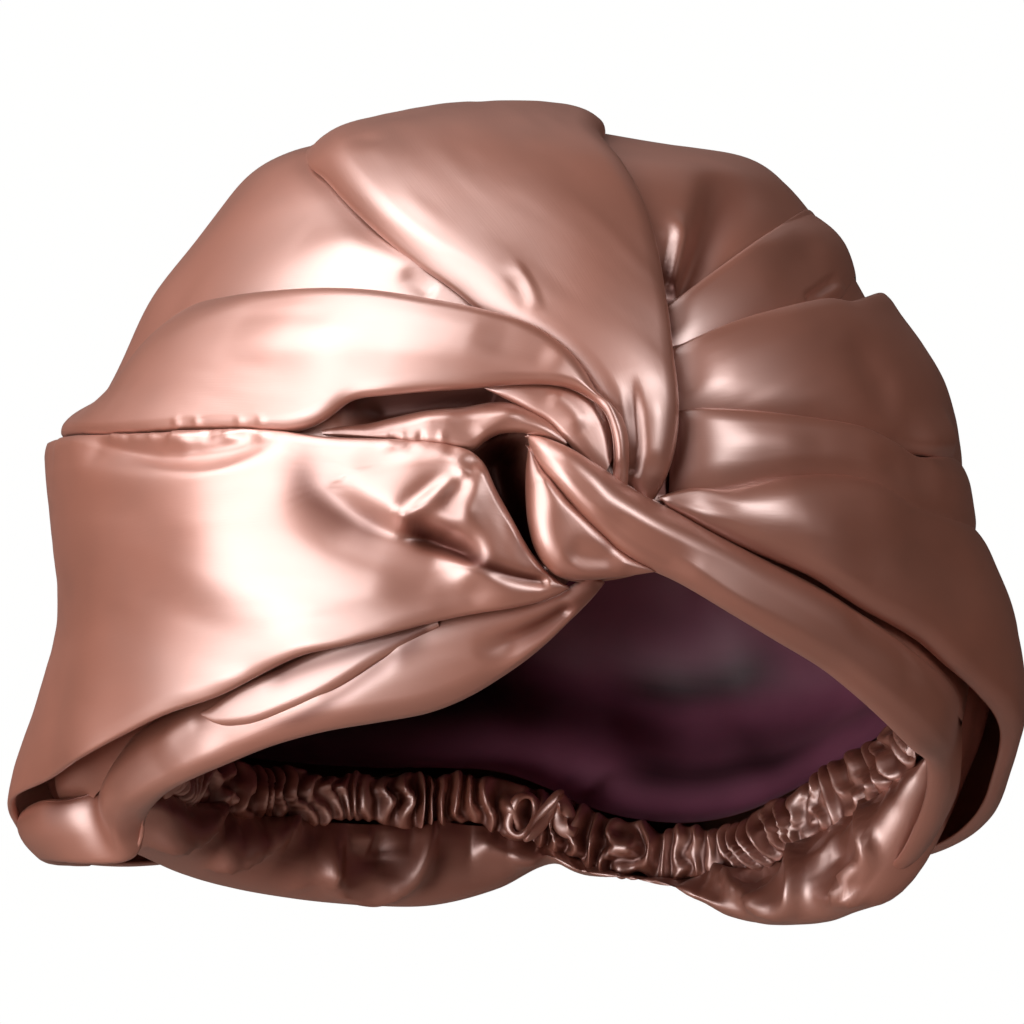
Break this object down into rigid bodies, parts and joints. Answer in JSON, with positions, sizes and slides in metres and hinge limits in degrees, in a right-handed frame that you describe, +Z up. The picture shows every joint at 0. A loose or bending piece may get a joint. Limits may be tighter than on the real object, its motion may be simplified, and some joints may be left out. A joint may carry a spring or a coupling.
{
  "type": "twist-front satin hair wrap",
  "caption": "Twist-front satin hair wrap in its worn form: pleated crown, crossed front bands, rolled hem, lined head opening and gathered nape casing.",
  "frame": {"origin": "middle of the head opening, level with the middle of its front-to-back slope, where a head carries the wrap", "axes": "+Z up, the face side with the twist towards -Y, the wearer's left at +X"},
  "size_m": [0.2414, 0.2315, 0.1963],
  "materials": {
    "rose_satin": "satin",
    "plum_lining": "satin"
  },
  "bodies": {
    "root": {"crown": "rose_satin", "lining": "plum_lining", "nape_casing": "rose_satin", "casing_knot": "rose_satin", "crown_sweep": "rose_satin", "over_loop": "rose_satin", "loop_middle": "rose_satin", "loop_inner": "rose_satin", "left_band": "rose_satin", "left_fold": "rose_satin", "left_hem": "rose_satin", "right_band": "rose_satin", "twist_strand": "rose_satin", "knot_wrap": "rose_satin", "pleat_upper": "rose_satin", "pleat_middle": "rose_satin", "pleat_lower": "rose_satin"}
  },
  "joints": []
}
